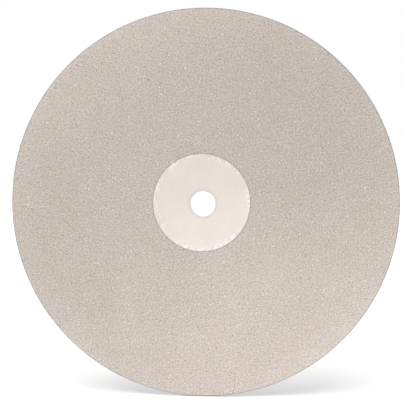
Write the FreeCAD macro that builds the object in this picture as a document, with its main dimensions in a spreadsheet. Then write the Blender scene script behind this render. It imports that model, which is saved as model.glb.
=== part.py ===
"""Electroplated diamond flat lap: a thin steel disc whose working face carries a nickel-bonded diamond coat.

Row frame: millimetres, +Z up, origin at the centre of the arbor bore, half-way through the steel. The disc
stands upright, turns about Y, and its working face looks along -Y. A depth is a distance from the back face
towards the working side. The cells of the "driving" sheet drive it all.
"""

import FreeCAD
import Part
import math
import os
import re
import Sketcher

# Driving dimensions, in millimetres: alias, value, what it is.
DRIVING = [
    ("disc_diameter", 200.0, "outer diameter of the steel blank"),
    ("core_thickness", 1.0, "thickness of the steel blank"),
    ("bore_diameter", 12.7, "half-inch arbor bore"),
    ("rim_chamfer", 0.15, "chamfer on both edges of the rim"),
    ("bore_chamfer", 0.15, "chamfer on both ends of the bore"),
    ("mask_diameter", 50.0, "round masked zone left bare for the clamp flange"),
    ("mask_offset_x", -0.8, "how far the mask sits off the bore, along X"),
    ("mask_offset_z", 0.5, "how far the mask sits off the bore, along Z"),
    ("etch_depth", 0.02, "steel that blasting and etching takes off under the coat"),
    ("bond_thickness", 0.15, "nickel bond, from the etched steel to its top"),
    ("bead_width", 0.35, "ring of thicker nickel along each edge of the coat"),
    ("bead_height", 0.04, "how far that ring stands above the bond"),
    ("bead_radius", 0.03, "rounding of the nickel's outer edges"),
    ("grit_gap", 0.05, "gap between the bead and the first diamonds"),
    ("grit_height", 0.10, "how far the diamonds stand out of the bond"),
]
SHEET = "driving"
VOLUME_TOLERANCE = 1e-3   # share of the volume that plain geometry predicts
SAME_MM = 1e-4            # lengths closer than this are the same length
DRAWN_DIAMETER = 20.0     # size a circle is drawn at before its constraints take over
DRAWN_STEP = 2.0          # how much larger the next circle of the same sketch is drawn


def make_sheet(doc):
    """The driving dimensions, one row each: name, value with its alias, and a note."""
    sheet = doc.addObject("Spreadsheet::Sheet", SHEET)
    for row, (alias, value, note) in enumerate(DRIVING, start=1):
        sheet.set(f"A{row}", alias)
        sheet.set(f"B{row}", str(value))
        sheet.set(f"C{row}", note)
        sheet.setAlias(f"B{row}", alias)
    doc.recompute()
    return sheet


def of_sheet(formula):
    """A formula in the sheet's aliases, written as an expression that names the sheet before each of them."""
    return re.sub(r"[a-z]\w*", rf"{SHEET}.\g<0>", formula)


def make_body(doc, name):
    body = doc.addObject("PartDesign::Body", name)
    body.Label = name
    body.Placement = FreeCAD.Placement()
    return body


def y_at(sheet, depth):
    """Y of the plane at this depth."""
    return sheet.core_thickness / 2 - depth


def face_sketch(body, name, depth, circles):
    """A sketch parallel to the faces at this depth: one circle per (diameter, whether it is on the mask)."""
    plane = next(f for f in body.Origin.OriginFeatures if f.Role == "XZ_Plane")
    sketch = body.newObject("Sketcher::SketchObject", name)
    sketch.AttachmentSupport = [(plane, "")]
    sketch.MapMode = "FlatFace"
    sketch.setExpression("AttachmentOffset.Base.z", of_sheet(f"{depth} - core_thickness / 2"))
    for number, (diameter, on_mask) in enumerate(circles):
        centre = FreeCAD.Vector(-1, 1, 0) if on_mask else FreeCAD.Vector(0, 0, 0)
        drawn = DRAWN_DIAMETER + DRAWN_STEP * number
        circle = sketch.addGeometry(Part.Circle(centre, FreeCAD.Vector(0, 0, 1), drawn / 2))
        size = sketch.addConstraint(Sketcher.Constraint("Diameter", circle, drawn))
        sketch.setExpression(f"Constraints[{size}]", of_sheet(diameter))
        if on_mask:
            for kind, start, alias in (
                ("DistanceX", centre.x, "mask_offset_x"), ("DistanceY", centre.y, "mask_offset_z")
            ):
                offset = sketch.addConstraint(Sketcher.Constraint(kind, -1, 1, circle, 3, start))
                sketch.setExpression(f"Constraints[{offset}]", of_sheet(alias))
        else:
            sketch.addConstraint(Sketcher.Constraint("Coincident", circle, 3, -1, 1))
    return sketch


def pad(body, name, sketch, length):
    """Adds material from the sketch towards the working side."""
    feature = body.newObject("PartDesign::Pad", name)
    feature.Profile = sketch
    feature.setExpression("Length", of_sheet(length))
    body.Document.recompute()
    return feature


def pocket(body, name, sketch, depth=None):
    """Removes material from the sketch towards the back face, right through where no depth is given."""
    feature = body.newObject("PartDesign::Pocket", name)
    feature.Profile = sketch
    if depth is None:
        feature.Type = "ThroughAll"
    else:
        feature.setExpression("Length", of_sheet(depth))
    body.Document.recompute()
    return feature


def ring_edges(feature, wanted):
    """The names of the feature's full circles whose (radius, y) is in wanted."""
    found = []
    for number, edge in enumerate(feature.Shape.Edges, start=1):
        curve = edge.Curve
        if isinstance(curve, Part.Circle) and edge.isClosed():
            place = (curve.Radius, curve.Center.y)
            if any(all(abs(a - b) < SAME_MM for a, b in zip(place, want)) for want in wanted):
                found.append(f"Edge{number}")
    if len(found) != len(wanted):
        raise RuntimeError(f"{feature.Name}: {len(found)} of {len(wanted)} edges found")
    return found


def chamfer(body, name, base, wanted, size):
    feature = body.newObject("PartDesign::Chamfer", name)
    feature.Base = (base, ring_edges(base, wanted))
    feature.setExpression("Size", of_sheet(size))
    body.Document.recompute()
    return feature


def fillet(body, name, base, wanted, radius):
    feature = body.newObject("PartDesign::Fillet", name)
    feature.Base = (base, ring_edges(base, wanted))
    feature.setExpression("Radius", of_sheet(radius))
    body.Document.recompute()
    return feature


def make_steel_core(doc, sheet):
    """The blank: a disc with its bore, the shallow etched seat under the coat, and its chamfers."""
    body = make_body(doc, "steel_core")
    outline = face_sketch(body, "blank_outline", "0", [("disc_diameter", False)])
    pad(body, "blank", outline, "core_thickness")
    past_the_rim = "disc_diameter + 2 * core_thickness"
    seat = face_sketch(
        body, "seat_outline", "core_thickness", [(past_the_rim, False), ("mask_diameter", True)]
    )
    pocket(body, "etched_seat", seat, "etch_depth")
    bore = face_sketch(body, "bore_outline", "core_thickness", [("bore_diameter", False)])
    bored = pocket(body, "arbor_bore", bore)

    rim, hole = sheet.disc_diameter / 2, sheet.bore_diameter / 2
    back, front = y_at(sheet, 0), y_at(sheet, sheet.core_thickness)
    rim_ends = [(rim, back), (rim, front + sheet.etch_depth)]
    rim_cut = chamfer(body, "rim_chamfers", bored, rim_ends, "rim_chamfer")
    chamfer(body, "bore_chamfers", rim_cut, [(hole, back), (hole, front)], "bore_chamfer")
    return body


def make_nickel_bond(doc, sheet):
    """The nickel that holds the diamonds: a ring-shaped plate with a thicker bead along its two edges."""
    body = make_body(doc, "nickel_bond")
    seat = "core_thickness - etch_depth"
    outer = "disc_diameter - 2 * rim_chamfer"
    plate = face_sketch(body, "plate_outline", seat, [(outer, False), ("mask_diameter", True)])
    pad(body, "plate", plate, "bond_thickness")
    inner_bead = face_sketch(
        body, "inner_bead_outline", seat,
        [("mask_diameter", True), ("mask_diameter + 2 * bead_width", True)],
    )
    pad(body, "inner_bead", inner_bead, "bond_thickness + bead_height")
    outer_bead = face_sketch(
        body, "outer_bead_outline", seat, [(outer, False), (f"{outer} - 2 * bead_width", False)]
    )
    beads = pad(body, "outer_bead", outer_bead, "bond_thickness + bead_height")

    seat_depth = sheet.core_thickness - sheet.etch_depth
    top = y_at(sheet, seat_depth + sheet.bond_thickness + sheet.bead_height)
    mask = sheet.mask_diameter / 2
    rim = sheet.disc_diameter / 2 - sheet.rim_chamfer
    rings = [mask, mask + sheet.bead_width, rim, rim - sheet.bead_width]
    fillet(body, "bead_rounding", beads, [(radius, top) for radius in rings], "bead_radius")
    return body


def make_diamond_grit(doc):
    """The exposed tips of the diamonds, as the closed layer that they fill between the two beads."""
    body = make_body(doc, "diamond_grit")
    outer = "disc_diameter - 2 * rim_chamfer - 2 * bead_width - 2 * grit_gap"
    inner = "mask_diameter + 2 * bead_width + 2 * grit_gap"
    bond_top = "core_thickness - etch_depth + bond_thickness"
    tips = face_sketch(body, "grit_outline", bond_top, [(outer, False), (inner, True)])
    pad(body, "grit_layer", tips, "grit_height")
    return body


def expected_volumes(sheet):
    """Each body's volume from plain geometry, which a cut in the wrong direction would miss."""
    def disc(radius, height):
        return math.pi * radius * radius * height

    def chamfered(radius, size, sign):
        """What a chamfer takes off a disc's edge (sign -1) or off a bore's edge (sign 1), by Pappus."""
        return 2 * math.pi * (radius + sign * size / 3) * size * size / 2

    rim, hole, mask = sheet.disc_diameter / 2, sheet.bore_diameter / 2, sheet.mask_diameter / 2
    core = disc(rim, sheet.core_thickness) - disc(hole, sheet.core_thickness)
    core -= disc(rim, sheet.etch_depth) - disc(mask, sheet.etch_depth)
    core -= 2 * chamfered(rim, sheet.rim_chamfer, -1) + 2 * chamfered(hole, sheet.bore_chamfer, 1)

    edge = rim - sheet.rim_chamfer
    bond = disc(edge, sheet.bond_thickness) - disc(mask, sheet.bond_thickness)
    bond += disc(edge, sheet.bead_height) - disc(edge - sheet.bead_width, sheet.bead_height)
    bond += disc(mask + sheet.bead_width, sheet.bead_height) - disc(mask, sheet.bead_height)

    inset = sheet.bead_width + sheet.grit_gap
    grit = disc(edge - inset, sheet.grit_height) - disc(mask + inset, sheet.grit_height)
    return {"steel_core": core, "nickel_bond": bond, "diamond_grit": grit}


def check(doc, bodies, volumes):
    """Stops before anything is written if an object failed or a body isn't one solid of the right volume."""
    for thing in doc.Objects:
        if {"Invalid", "Error"} & set(thing.State):
            raise RuntimeError(f"{thing.Name} failed: {thing.State}")
    for body in bodies:
        shape = body.Shape
        if shape.isNull() or not shape.isValid() or len(shape.Solids) != 1:
            raise RuntimeError(f"{body.Label} isn't one valid solid")
        want = volumes[body.Label]
        if abs(shape.Volume - want) > VOLUME_TOLERANCE * want:
            raise RuntimeError(f"{body.Label}: volume {shape.Volume:.2f}, expected {want:.2f}")
        box = shape.BoundBox
        print(f"{body.Label}: {shape.Volume:.1f} mm3, y {box.YMin:.3f} to {box.YMax:.3f} mm")


def main():
    doc = FreeCAD.newDocument("diamond_flat_lap")
    sheet = make_sheet(doc)
    bodies = [make_steel_core(doc, sheet), make_nickel_bond(doc, sheet), make_diamond_grit(doc)]
    doc.recompute()
    check(doc, bodies, expected_volumes(sheet))
    os.makedirs("parts", exist_ok=True)
    for body in bodies:
        body.Shape.exportStep(f"parts/{body.Label}.step")


main()
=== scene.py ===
"""The looks of the diamond flat lap: plated steel, a nickel bond and some 130 000 diamonds.

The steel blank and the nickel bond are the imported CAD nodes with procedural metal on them. The
closed ring that stands for the diamonds in the CAD model is replaced by real crystals, each a
closed solid of its own that stands on the etched steel and pokes out of the nickel. Everything is
in metres, in the frame of the CAD model.
"""

import math

import bmesh
import bpy
import numpy as np
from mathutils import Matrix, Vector


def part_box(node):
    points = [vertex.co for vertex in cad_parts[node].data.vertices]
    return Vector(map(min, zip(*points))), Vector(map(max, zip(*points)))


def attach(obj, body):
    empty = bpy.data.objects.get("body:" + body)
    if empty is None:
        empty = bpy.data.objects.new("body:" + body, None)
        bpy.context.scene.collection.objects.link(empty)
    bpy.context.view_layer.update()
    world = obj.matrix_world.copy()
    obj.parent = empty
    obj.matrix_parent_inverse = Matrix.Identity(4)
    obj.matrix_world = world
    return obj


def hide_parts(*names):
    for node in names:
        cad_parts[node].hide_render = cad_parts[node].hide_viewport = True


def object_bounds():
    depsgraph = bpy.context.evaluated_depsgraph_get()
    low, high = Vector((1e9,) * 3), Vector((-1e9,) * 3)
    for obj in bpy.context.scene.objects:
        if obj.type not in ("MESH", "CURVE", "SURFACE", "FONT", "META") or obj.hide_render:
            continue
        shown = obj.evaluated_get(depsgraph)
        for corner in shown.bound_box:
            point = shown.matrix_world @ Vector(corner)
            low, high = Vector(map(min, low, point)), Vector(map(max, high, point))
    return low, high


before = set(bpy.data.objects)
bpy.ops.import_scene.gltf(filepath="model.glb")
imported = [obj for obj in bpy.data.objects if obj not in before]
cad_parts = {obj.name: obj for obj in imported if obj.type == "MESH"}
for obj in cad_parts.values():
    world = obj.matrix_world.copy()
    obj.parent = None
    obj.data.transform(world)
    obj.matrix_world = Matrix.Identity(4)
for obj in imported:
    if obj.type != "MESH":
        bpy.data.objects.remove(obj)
cad_low, cad_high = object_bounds()

MM = 0.001

# Crystals.
SEED = 20
SPACING = 0.345 * MM          # no two crystals stand nearer than this
SCATTER_ROUNDS = 10           # how often darts are thrown at what is still empty
TALLEST, SHORTEST = 0.26 * MM, 0.21 * MM
STRETCH = 0.22                # how much longer or shorter than the next an axis of a crystal may be
CHIP = 0.10                   # how far a corner may be off its ideal place, as a share of the size
SPREAD = 1.10                 # crystals settle on their broad side, and are this much wider for it
TILT = 9                      # how far from level that side may lie, in degrees
SHADES = 10                   # the crystals are split by shade, so that no piece is too large
SHARD_CORNERS = 8             # how many corners a crushed crystal has
EVEN_CELLS = 4                # dark and light ones are mixed evenly over this many cells each way
EVENNESS = 1.00               # how strongly they are
STRAY_BAND = 1.3 * MM         # strays lie this far inside the mask's edge
STRAY_SHARE = 0.035           # the share of places there that holds one
STRAY_HEIGHT = 0.55           # how tall they are, as a share of the others
EDGE_RAGGED = 0.10 * MM       # how unevenly the coat ends at the mask
BARE_BEAD = 0.35 * MM         # the ring of bare nickel along the rim

# Metal.
MASK_FRINGE = 3.6 * MM        # how far inside the mask's edge the steel is painted lighter, as a painted highlight
MASK_LINE = 0.2 * MM          # how sharply that painted highlight ends on either side of the mask's edge
BACK_FROM = 0.2 * MM          # how far behind the blank's middle its back begins
CUT_EDGE = 0.25 * MM          # how far from the rim the turned steel goes, past its chamfer
DARK_RING_REACH = 1.6 * MM             # how far from the bore the plating is darker, in a ring
EDGE_SHADE = 0.5 * MM         # how wide the closed nickel along the coat's two edges is, which is painted darker as painted shade
RIM_RISE = 8                  # painted light: the nickel is painted lighter towards the rim, as this power of the distance from the axis
SCRATCHES = (38, 0.7 * MM), (-57, 0.5 * MM), (9, 0.6 * MM)     # direction in degrees, and width

# Colours, each pair from its darkest to its lightest.
FRONT_STEEL = (0.575, 0.524, 0.485), (0.78, 0.711, 0.658)
# painted highlight: the steel's colours just inside the mask's edge
FRINGE_STEEL_HIGHLIGHT = (0.62, 0.564, 0.522), (0.86, 0.79, 0.74)
BACK_STEEL = (0.44, 0.42, 0.40), (0.66, 0.615, 0.57)
TURNED_STEEL = (0.24, 0.245, 0.26), (0.41, 0.415, 0.43)
DARK_RING_STEEL = (0.62, 0.562, 0.522)
SCRATCHED_STEEL = (0.80, 0.76, 0.72)
COAT_NICKEL = (0.286, 0.255, 0.229), (0.622, 0.555, 0.503)
# painted light: the nickel's colours at the rim, lighter than in the middle
RIM_NICKEL_PAINTED_LIGHT = (0.315, 0.281, 0.252), (0.684, 0.611, 0.553)
# the closed nickel along the rim and the mask's edge: partly its own colour, partly painted shade
RIM_BEAD_AND_SHADE, MASK_BEAD_AND_SHADE = (0.40, 0.385, 0.37), (0.44, 0.395, 0.365)
DARK_DIAMOND = (0.06, 0.055, 0.05), (0.14, 0.12, 0.105)
LIGHT_DIAMOND = (0.64, 0.57, 0.495), (0.76, 0.71, 0.66)
FLOOR_GREY = (0.82, 0.82, 0.82)

INTO_STEEL = Vector((0, 1, 0))

# Stage.
FLOOR_REACH = 6.0             # how far the floor goes each way
SPOT_DISTANCE = 0.8           # from a spotlight to what it looks at
SPOT_RADIUS = 0.06            # of a spotlight's lamp, which softens its shadows

# Camera: where it stands, as the photograph was taken.
VIEW_AZIMUTH, VIEW_ELEVATION = 4.2, 2.6
VIEW_DISTANCE = 449.6 * MM
VIEW_ANGLE = 26.36            # degrees across the picture's long side
LOOK_AT = Vector((-1.04 * MM, 0, -0.42 * MM))


# --- What the frame says -------------------------------------------------------------------------

def points_of(node):
    return np.array([v.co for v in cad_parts[node].data.vertices])


def inner_circle(node):
    """Centre and radius of the hole in a ring-shaped node, from the points of its inner wall."""
    points = points_of(node)
    reach = np.hypot(points[:, 0], points[:, 2])
    wall = points[reach < reach.max() / 2]
    low, high = wall.min(0), wall.max(0)
    return (low + high) / 2, (high[0] - low[0]) / 2


steel_low, steel_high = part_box("steel_core")
bond_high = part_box("nickel_bond")[1]
mask_centre, mask_radius = inner_circle("nickel_bond")
rim_radius = steel_high.x
bore_radius = np.hypot(*points_of("steel_core")[:, (0, 2)].T).min()
bond_radius = bond_high.x
bare_y = steel_low.y          # the bare zone's surface
seat_y = bond_high.y          # the etched steel under the bond


# --- Crystals ------------------------------------------------------------------------------------

def scatter(rng, spacing, reach, wanted):
    """Points over a disc where wanted(x, z) holds, and a tint from 0 to 1 for each of them.

    The disc's radius is reach, and no two points are nearer than spacing. Darts are thrown at a
    grid whose cells are too small for two points, one dart at each empty cell in each round. A
    dart stays if no point and no dart of a higher rank is too near in the two rows of cells
    around it.
    """
    cell = spacing / math.sqrt(2)
    edge = 2                  # rows of cells within which two points can be too near
    count = 2 * math.ceil(reach / cell) + 2 * edge
    corner = (np.arange(count) - count / 2) * cell
    taken_x = np.full((count, count), np.inf)
    taken_z = np.full((count, count), np.inf)
    around = range(-edge, edge + 1)
    steps = [(i, j) for i in around for j in around if (i, j) != (0, 0)]
    for _ in range(SCATTER_ROUNDS):
        x = corner[:, None] + rng.random((count, count)) * cell
        z = corner[None, :] + rng.random((count, count)) * cell
        rank = rng.random((count, count))
        rank[np.isfinite(taken_x) | ~wanted(x, z)] = -1
        stays = rank >= 0
        for i, j in steps:
            near_x, near_z, near_rank, dart_x, dart_z = (
                np.roll(a, (i, j), (0, 1)) for a in (taken_x, taken_z, rank, x, z)
            )
            stays &= (near_x - x) ** 2 + (near_z - z) ** 2 >= spacing ** 2
            stays &= ((dart_x - x) ** 2 + (dart_z - z) ** 2 >= spacing ** 2) | (near_rank < rank)
        taken_x[stays] = x[stays]
        taken_z[stays] = z[stays]
    kept = np.isfinite(taken_x)
    return taken_x[kept], taken_z[kept], even_tints(rng, kept)[kept]


def even_tints(rng, kept):
    """A random tint for each cell that is kept, pushed away from the mean tint around it."""
    tints = np.where(kept, rng.random(kept.shape), 0)
    steps = range(-EVEN_CELLS, EVEN_CELLS + 1)
    total, number = tints, kept.astype(float)
    for axis in (0, 1):
        total, number = (
            sum(np.roll(a, step, axis) for step in steps) for a in (total, number)
        )
    mean = total / np.maximum(number, 1)
    return np.clip(tints + EVENNESS * (0.5 - mean), 0, 1)


def solid(corners):
    """The corners of a convex solid about the origin, and its faces as outward triangles."""
    form = bmesh.new()
    for corner in corners:
        form.verts.new(corner)
    bmesh.ops.convex_hull(form, input=form.verts)
    bmesh.ops.triangulate(form, faces=form.faces)
    form.verts.index_update()
    points = np.array([v.co for v in form.verts])
    faces = np.array([[v.index for v in f.verts] for f in form.faces])
    form.free()
    a, b, c = (points[faces[:, k]] for k in range(3))
    inward = np.einsum("ij,ij->i", np.cross(b - a, c - a), a) < 0
    faces[inward] = faces[inward][:, ::-1]
    return points / np.linalg.norm(points, axis=1).max(), faces


def signs(pattern):
    """The corners that a pattern such as (1, 1, 0) gives, with all signs and turned round."""
    turned = {pattern[k:] + pattern[:k] for k in range(3)}
    ways = [(i, j, k) for i in (-1, 1) for j in (-1, 1) for k in (-1, 1)]
    return sorted({tuple(s * p for s, p in zip(way, t)) for t in turned for way in ways})


def shard(rng):
    """A crushed crystal: the hull of a few corners strewn over a sphere."""
    corners = rng.normal(size=(SHARD_CORNERS, 3))
    return solid(corners / np.linalg.norm(corners, axis=1, keepdims=True))


def upright_turns(angles):
    """The rotation about Y by each angle."""
    c, s = np.cos(angles), np.sin(angles)
    nil, one = np.zeros_like(angles), np.ones_like(angles)
    return np.array([[c, nil, s], [nil, one, nil], [-s, nil, c]]).transpose(2, 0, 1)


def tilts(angles):
    """The rotation about X by each angle."""
    c, s = np.cos(angles), np.sin(angles)
    nil, one = np.zeros_like(angles), np.ones_like(angles)
    return np.array([[one, nil, nil], [nil, c, -s], [nil, s, c]]).transpose(2, 0, 1)


def settled(rng, form, count):
    """Rotations that each lay one of the form's faces on the steel, nearly level and turned."""
    points, faces = form
    a, b, c = (points[faces[:, k]] for k in range(3))
    outward = np.cross(b - a, c - a)
    lay = np.array([Vector(v).rotation_difference(INTO_STEEL).to_matrix() for v in outward])
    turn = lay[rng.integers(len(lay), size=count)]
    turn = upright_turns(rng.uniform(0, math.tau, count)) @ turn
    turn = tilts(np.radians(TILT) * rng.normal(size=count)) @ turn
    return upright_turns(rng.uniform(0, math.tau, count)) @ turn


def grow(rng, form, x, z, base_y, height):
    """A crystal of this form at each (x, z), chipped, stretched and settled, standing on base_y."""
    points, faces = form
    count = len(x)
    made = points[None] * (1 + CHIP * rng.uniform(-1, 1, (count, len(points), 1)))
    made = made * (1 + STRETCH * rng.uniform(-1, 1, (count, 1, 3)))
    made = np.einsum("nij,nkj->nki", settled(rng, form, count), made)
    low, high = made[:, :, 1].min(1), made[:, :, 1].max(1)
    size = (height / (high - low))[:, None]
    placed = np.empty_like(made)
    placed[:, :, 0] = x[:, None] + SPREAD * size * made[:, :, 0]
    placed[:, :, 1] = base_y[:, None] + size * (made[:, :, 1] - high[:, None])
    placed[:, :, 2] = z[:, None] + SPREAD * size * made[:, :, 2]
    return placed, faces


def grit_mesh(name, parts):
    """One mesh of all crystals in parts, each part (crystals, faces, tint of each crystal)."""
    points, corners, tints, start = [], [], [], 0
    for crystals, faces, tint in parts:
        count, each = crystals.shape[:2]
        first = start + each * np.arange(count)
        points.append(crystals.reshape(-1, 3))
        corners.append((first[:, None, None] + faces[None]).reshape(-1))
        tints.append(np.repeat(tint, each))
        start += count * each
    points, corners, tints = np.concatenate(points), np.concatenate(corners), np.concatenate(tints)
    mesh = bpy.data.meshes.new(name)
    mesh.vertices.add(len(points))
    mesh.vertices.foreach_set("co", points.astype(np.float32).ravel())
    mesh.loops.add(len(corners))
    mesh.loops.foreach_set("vertex_index", corners.astype(np.int32))
    mesh.polygons.add(len(corners) // 3)
    mesh.polygons.foreach_set("loop_start", np.arange(0, len(corners), 3, dtype=np.int32))
    mesh.update(calc_edges=True)
    mesh.shade_flat()
    tint = mesh.attributes.new("tint", "FLOAT", "POINT")
    tint.data.foreach_set("value", tints.astype(np.float32))
    return mesh


def from_mask(x, z):
    """Distance from the middle of the mask."""
    return np.hypot(x - mask_centre[0], z - mask_centre[2])


def make_grit(material):
    """The diamonds, as one piece to each shade, from dark to light."""
    rng = np.random.default_rng(SEED)
    outer = bond_radius - BARE_BEAD
    x, z, tint = scatter(
        rng, SPACING, outer,
        lambda x, z: (np.hypot(x, z) < outer) & (from_mask(x, z) > mask_radius - STRAY_BAND),
    )
    inside = mask_radius - from_mask(x, z)
    coated = inside < EDGE_RAGGED * rng.normal(size=len(x))
    stray = rng.random(len(x)) < STRAY_SHARE * (1 - np.clip(inside / STRAY_BAND, 0, 1))
    x, z, tint = (a[coated | stray] for a in (x, z, tint))

    on_bond = from_mask(x, z) > mask_radius
    height = rng.uniform(SHORTEST, TALLEST, len(x)) * np.where(on_bond, 1, STRAY_HEIGHT)
    base_y = np.where(on_bond, seat_y, bare_y)
    forms, shares = zip(
        (solid(signs((1.0, 0.0, 0.0))), 0.30),     # octahedra
        (solid(signs((1.0, 1.0, 1.0))), 0.20),     # cubes
        (solid(signs((1.0, 1.0, 0.0))), 0.10),     # cuboctahedra
        (shard(rng), 0.14),
        (shard(rng), 0.13),
        (shard(rng), 0.13),
    )
    kind = rng.choice(len(forms), len(x), p=shares)
    rank = np.empty(len(tint), int)
    rank[np.argsort(tint, kind="stable")] = np.arange(len(tint))
    shade = rank * SHADES // len(tint)
    for number in range(SHADES):
        parts = []
        for k, form in enumerate(forms):
            here = (shade == number) & (kind == k)
            crystals, faces = grow(rng, form, x[here], z[here], base_y[here], height[here])
            parts.append((crystals, faces, tint[here]))
        name = f"diamond_grit_{number + 1}"
        piece = bpy.data.objects.new(name, grit_mesh(name, parts))
        bpy.context.scene.collection.objects.link(piece)
        piece.data.materials.append(material)
        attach(piece, "root")
        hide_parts("diamond_grit")


# --- Materials -----------------------------------------------------------------------------------

class Nodes:
    """A material's node tree, with a short call for each kind of node that is used."""

    def __init__(self, name, **fixed):
        self.material = bpy.data.materials.new(name)
        self.material.use_nodes = True
        self.tree = self.material.node_tree
        self.shader = self.tree.nodes["Principled BSDF"]
        for socket, value in fixed.items():
            self.shader.inputs[socket.replace("_", " ")].default_value = value

    def add(self, kind, settings=(), inputs=()):
        """A node with these settings, each input fixed or linked to another node's output."""
        node = self.tree.nodes.new(kind)
        for name, value in dict(settings).items():
            setattr(node, name, value)
        for name, value in dict(inputs).items():
            if isinstance(value, bpy.types.NodeSocket):
                self.tree.links.new(value, node.inputs[name])
            else:
                node.inputs[name].default_value = value
        return node

    def place(self):
        """Where the surface is, in metres in the frame of the CAD model."""
        return self.add("ShaderNodeTexCoord").outputs["Object"]

    def noise(self, vector, size, detail=3.0, rough=0.55):
        """Noise whose blobs are about size metres across, from 0 to 1."""
        inputs = {"Vector": vector, "Scale": 1 / size, "Detail": detail, "Roughness": rough}
        return self.add("ShaderNodeTexNoise", inputs=inputs).outputs["Fac"]

    def from_axis(self, place, centre):
        """Distance from the line through centre along Y."""
        settings = {"operation": "SUBTRACT"}
        off = self.add("ShaderNodeVectorMath", settings, {0: place, 1: tuple(centre)}).outputs[0]
        flat = self.stretched(off, (1, 0, 1))
        return self.add("ShaderNodeVectorMath", {"operation": "LENGTH"}, {0: flat}).outputs["Value"]

    def domes(self, vector, size):
        """Rounded cells about size metres across, 1 at their tops and 0 in the creases."""
        inputs = {"Vector": vector, "Scale": 1 / size}
        distance = self.add("ShaderNodeTexVoronoi", inputs=inputs).outputs["Distance"]
        return self.math("SUBTRACT", 1.0, self.times(distance, distance))

    def to_range(self, value, low, high, start=0.3, end=0.7):
        """value from start to end, spread over low to high."""
        inputs = {"Value": value, "From Min": start, "From Max": end, "To Min": low, "To Max": high}
        return self.add("ShaderNodeMapRange", inputs=inputs).outputs["Result"]

    def ramp(self, value, stops):
        """A colour for value, from stops of (place, colour)."""
        node = self.add("ShaderNodeValToRGB", inputs={"Fac": value})
        elements = node.color_ramp.elements
        while len(elements) < len(stops):
            elements.new(1.0)
        for element, (place, colour) in zip(elements, stops):
            element.position = place
            element.color = (*colour, 1)
        return node.outputs["Color"]

    def shades(self, value, pair, low=0.0, high=1.0):
        """From a pair's dark colour to its light one, as value goes from low to high."""
        return self.ramp(value, [(low, pair[0]), (high, pair[1])])

    def mix(self, factor, a, b):
        """Colour a where factor is 0 and colour b where it is 1."""
        a, b = (c if isinstance(c, bpy.types.NodeSocket) else (*c, 1) for c in (a, b))
        return self.add("ShaderNodeMix", {"data_type": "RGBA"}, {0: factor, 6: a, 7: b}).outputs[2]

    def math(self, operation, a, b=0.0):
        return self.add("ShaderNodeMath", {"operation": operation}, {0: a, 1: b}).outputs[0]

    def times(self, a, b):
        return self.math("MULTIPLY", a, b)

    def plus(self, a, b):
        return self.math("ADD", a, b)

    def stretched(self, vector, scale):
        settings = {"operation": "MULTIPLY"}
        return self.add("ShaderNodeVectorMath", settings, {0: vector, 1: scale}).outputs[0]

    def turned(self, vector, angle, scale):
        """vector turned about Y by angle degrees, then stretched."""
        inputs = {"Vector": vector, "Angle": math.radians(angle)}
        turn = self.add("ShaderNodeVectorRotate", {"rotation_type": "Y_AXIS"}, inputs)
        return self.stretched(turn.outputs["Vector"], scale)

    def bump(self, height, distance, strength=1.0):
        inputs = {"Height": height, "Distance": distance, "Strength": strength}
        return self.add("ShaderNodeBump", inputs=inputs).outputs["Normal"]

    def set(self, **links):
        for socket, value in links.items():
            self.tree.links.new(value, self.shader.inputs[socket.replace("_", " ")])
        return self.material


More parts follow.
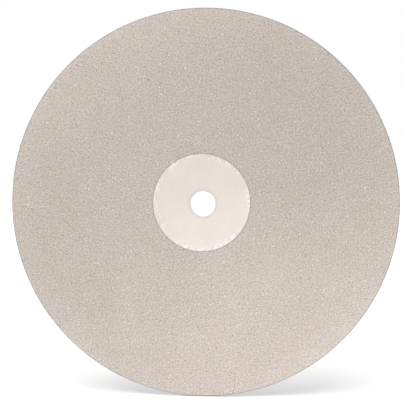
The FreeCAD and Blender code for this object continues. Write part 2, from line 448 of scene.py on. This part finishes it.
def steel_material():
    """Ground steel under a thin nickel flash, with darker turned steel at the rim and in the bore.

    In front it is satin and warm, and painted lighter and flecked by the mask's edge, as a painted
    highlight.
    Behind it shows the straight grain of the grinding, clouds in the plating and a few scratches
    from handling.
    """
    n = Nodes("nickelled_steel", Metallic=1.0)
    place = n.place()
    cloud = n.noise(place, 14 * MM)
    fine = n.noise(place, 0.6 * MM)
    depth = n.add("ShaderNodeSeparateXYZ", inputs={0: place}).outputs["Y"]
    behind = n.to_range(depth, 0, 1, 0.0, BACK_FROM)
    in_front = n.math("SUBTRACT", 1.0, behind)

    tone = n.plus(n.times(cloud, 0.5), n.times(n.to_range(fine, 0, 1), 0.5))
    colour = n.shades(tone, FRONT_STEEL)
    # painted highlight: a lighter, flecked band just inside the mask's edge
    inside = n.math("SUBTRACT", mask_radius, n.from_axis(place, mask_centre))
    fringe_highlight = n.to_range(inside, 1, 0, MASK_LINE, MASK_FRINGE)
    patch = n.to_range(n.noise(place, 8 * MM, detail=1.0), 0.3, 1, 0.4, 0.6)
    for share in (n.to_range(inside, 0, 1, -MASK_LINE, 0), in_front, patch):
        fringe_highlight = n.times(fringe_highlight, share)
    highlight_fleck = n.to_range(n.noise(place, 0.8 * MM, detail=0.0), 0, 1, 0.38, 0.60)
    colour = n.mix(fringe_highlight, colour, n.shades(highlight_fleck, FRINGE_STEEL_HIGHLIGHT))

    grain = n.noise(n.stretched(place, (1, 1, 0.012)), 1.0 * MM, detail=6.0, rough=0.75)
    veil = n.noise(place, 32 * MM, detail=5.0, rough=0.6)
    scratch = 0.0
    for angle, width in SCRATCHES:
        streaks = n.noise(n.turned(place, angle, (1, 1, 0.014)), width, detail=1.0)
        scratch = n.math("MAXIMUM", scratch, n.to_range(streaks, 0, 1, 0.745, 0.785))
    worn = n.plus(n.to_range(grain, 0, 0.75, 0.3, 0.7), n.to_range(veil, 0, 0.25, 0.35, 0.65))
    ground = n.mix(n.times(scratch, 0.35), n.shades(worn, BACK_STEEL), SCRATCHED_STEEL)
    colour = n.mix(behind, colour, ground)

    reach = n.from_axis(place, (0, 0, 0))
    # the plating is darker in a ring around the bore
    ends = n.to_range(reach, 1, 0, bore_radius + 0.6 * DARK_RING_REACH, bore_radius + DARK_RING_REACH)
    begins = n.to_range(reach, 0, 1, bore_radius + 0.2 * MM, bore_radius + 0.6 * MM)
    colour = n.mix(n.times(n.times(ends, in_front), begins), colour, DARK_RING_STEEL)
    at_rim = n.to_range(reach, 0, 1, rim_radius - CUT_EDGE, rim_radius - 0.8 * CUT_EDGE)
    at_bore = n.to_range(reach, 1, 0, bore_radius + 0.02 * MM, bore_radius + 0.05 * MM)
    cut = n.math("MAXIMUM", at_rim, at_bore)
    turning = n.noise(n.stretched(place, (1, 12, 1)), 1.2 * MM, detail=3.0)
    colour = n.mix(cut, colour, n.shades(turning, TURNED_STEEL, 0.3, 0.7))

    height = n.plus(n.times(fine, 0.4), n.times(grain, behind))
    height = n.plus(height, n.times(turning, cut))
    satin = n.times(n.to_range(fine, 0.50, 0.60), in_front)
    brushed = n.times(n.to_range(worn, 0.34, 0.52, 0, 1), behind)
    return n.set(
        Base_Color=colour,
        Roughness=n.plus(satin, brushed),
        Normal=n.bump(height, 0.012 * MM, 0.6),
    )


def nickel_material():
    """Matt plated nickel: small domes between the crystals, and smooth closed nickel along its two
    edges. The creases between the domes and the two edges are painted darker, as painted shade.
    """
    n = Nodes("nickel_plate", Metallic=1.0)
    place = n.place()
    cloud = n.noise(place, 30 * MM)
    domes = n.domes(place, 0.17 * MM)
    fine = n.noise(place, 0.06 * MM, detail=1.0)
    height = n.plus(domes, n.times(fine, 0.25))
    # painted shade: darker in the creases between the domes and lighter on their tops, with some
    # random tone
    shade = n.plus(n.times(domes, 0.6), n.times(fine, 0.4))
    reach = n.from_axis(place, (0, 0, 0))
    # painted light: the nickel is painted lighter towards the rim
    painted_rim_light = n.math("POWER", n.math("DIVIDE", reach, bond_radius), RIM_RISE)
    inner, outer = (n.shades(shade, pair, 0.15, 0.8) for pair in (COAT_NICKEL, RIM_NICKEL_PAINTED_LIGHT))
    colour = n.mix(painted_rim_light, inner, outer)
    to_rim = n.math("SUBTRACT", bond_radius, reach)
    to_mask = n.math("SUBTRACT", n.from_axis(place, mask_centre), mask_radius)
    ragged = n.to_range(n.noise(place, 1.5 * MM), -EDGE_RAGGED, 3 * EDGE_RAGGED)
    # painted shade: the nickel is darker along the rim and along the mask's edge
    for distance, bead_and_shade in ((to_rim, RIM_BEAD_AND_SHADE), (n.plus(to_mask, ragged), MASK_BEAD_AND_SHADE)):
        colour = n.mix(n.to_range(distance, 1, 0, 0.6 * EDGE_SHADE, EDGE_SHADE), colour, bead_and_shade)
    return n.set(
        Base_Color=colour,
        Roughness=n.to_range(cloud, 0.52, 0.62),
        Normal=n.bump(height, 0.06 * MM, 0.8),
    )


def diamond_material():
    """Synthetic diamond: straw, grey and nearly clear crystals, with bright facets."""
    n = Nodes("diamond", IOR=2.417, Metallic=0.0)
    tint = n.add("ShaderNodeAttribute", {"attribute_name": "tint"}).outputs["Fac"]
    tones = (*DARK_DIAMOND, *LIGHT_DIAMOND)
    colour = n.ramp(tint, list(zip((0.0, 0.36, 0.64, 1.0), tones)))
    frost = n.noise(n.place(), 0.08 * MM, detail=1.0)
    return n.set(Base_Color=colour, Roughness=n.to_range(frost, 0.38, 0.55))


# --- Stage ---------------------------------------------------------------------------------------

def make_floor():
    """A plain pale floor that the wheel stands on."""
    mesh = bpy.data.meshes.new("floor")
    corners = ((-1, -1), (1, -1), (1, 1), (-1, 1))
    points = [(x * FLOOR_REACH, y * FLOOR_REACH, cad_low.z) for x, y in corners]
    mesh.from_pydata(points, [], [(0, 1, 2, 3)])
    floor = bpy.data.objects.new("floor", mesh)
    bpy.context.scene.collection.objects.link(floor)
    n = Nodes("pale_floor", Roughness=0.9)
    n.shader.inputs["Specular IOR Level"].default_value = 0.1
    n.shader.inputs["Base Color"].default_value = (*FLOOR_GREY, 1)
    mesh.materials.append(n.material)


def from_angles(azimuth, elevation):
    """The direction from the wheel to this azimuth and elevation, 0,0 being straight in front."""
    a, e = math.radians(azimuth), math.radians(elevation)
    return Vector((math.sin(a) * math.cos(e), -math.cos(a) * math.cos(e), math.sin(e)))


def make_light(name, azimuth, elevation, strength, softness):
    """A large soft lamp far away, seen from the wheel at these angles, softness degrees across."""
    lamp = bpy.data.lights.new(name, "SUN")
    lamp.energy = strength
    lamp.angle = math.radians(softness)
    light = bpy.data.objects.new(name, lamp)
    light.rotation_euler = from_angles(azimuth, elevation).to_track_quat("Z", "Y").to_euler()
    bpy.context.scene.collection.objects.link(light)


def make_spot(name, aim, azimuth, elevation, cone, power):
    """A soft-edged spotlight that looks at aim from these angles, cone degrees wide."""
    lamp = bpy.data.lights.new(name, "SPOT")
    lamp.energy = power
    lamp.spot_size = math.radians(cone)
    lamp.spot_blend = 1.0
    lamp.shadow_soft_size = SPOT_RADIUS
    light = bpy.data.objects.new(name, lamp)
    away = from_angles(azimuth, elevation)
    light.location = Vector(aim) + SPOT_DISTANCE * away
    light.rotation_euler = away.to_track_quat("Z", "Y").to_euler()
    light.visible_camera = False
    bpy.context.scene.collection.objects.link(light)


def make_world(backdrop, room):
    """A plain white backdrop that lights the wheel only as much as a white room does."""
    world = bpy.data.worlds.new("studio")
    world.use_nodes = True
    nodes, links = world.node_tree.nodes, world.node_tree.links
    path, share = nodes.new("ShaderNodeLightPath"), nodes.new("ShaderNodeMapRange")
    share.inputs["To Min"].default_value = room
    share.inputs["To Max"].default_value = backdrop
    links.new(path.outputs["Is Camera Ray"], share.inputs["Value"])
    nodes["Background"].inputs["Color"].default_value = (1, 1, 1, 1)
    links.new(share.outputs["Result"], nodes["Background"].inputs["Strength"])
    bpy.context.scene.world = world


def make_camera():
    lens = bpy.data.cameras.new("camera")
    lens.angle = math.radians(VIEW_ANGLE)
    lens.clip_start = 0.01
    camera = bpy.data.objects.new("camera", lens)
    away = from_angles(VIEW_AZIMUTH, VIEW_ELEVATION)
    camera.location = LOOK_AT + VIEW_DISTANCE * away
    camera.rotation_euler = away.to_track_quat("Z", "Y").to_euler()
    bpy.context.scene.collection.objects.link(camera)
    bpy.context.scene.camera = camera


# --- The scene -----------------------------------------------------------------------------------

for node, make in (("steel_core", steel_material), ("nickel_bond", nickel_material)):
    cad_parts[node].material_slots[0].material = make()
make_grit(diamond_material())

make_floor()
make_world(backdrop=1.0, room=0.65)
make_light("overhead", azimuth=-30, elevation=70, strength=2.80, softness=65)
make_light("back", azimuth=200, elevation=45, strength=0.2, softness=70)
make_spot("low_front", (0.02, 0, -0.135), azimuth=5, elevation=5.4, cone=22, power=5.9)
make_spot("upper_left", (-0.09, 0, 0.09), azimuth=-5, elevation=6, cone=24, power=1.6)
make_spot("right", (0.105, 0, -0.01), azimuth=6, elevation=3, cone=13, power=0.8)
make_camera()
bpy.context.scene.view_settings.view_transform = "Standard"
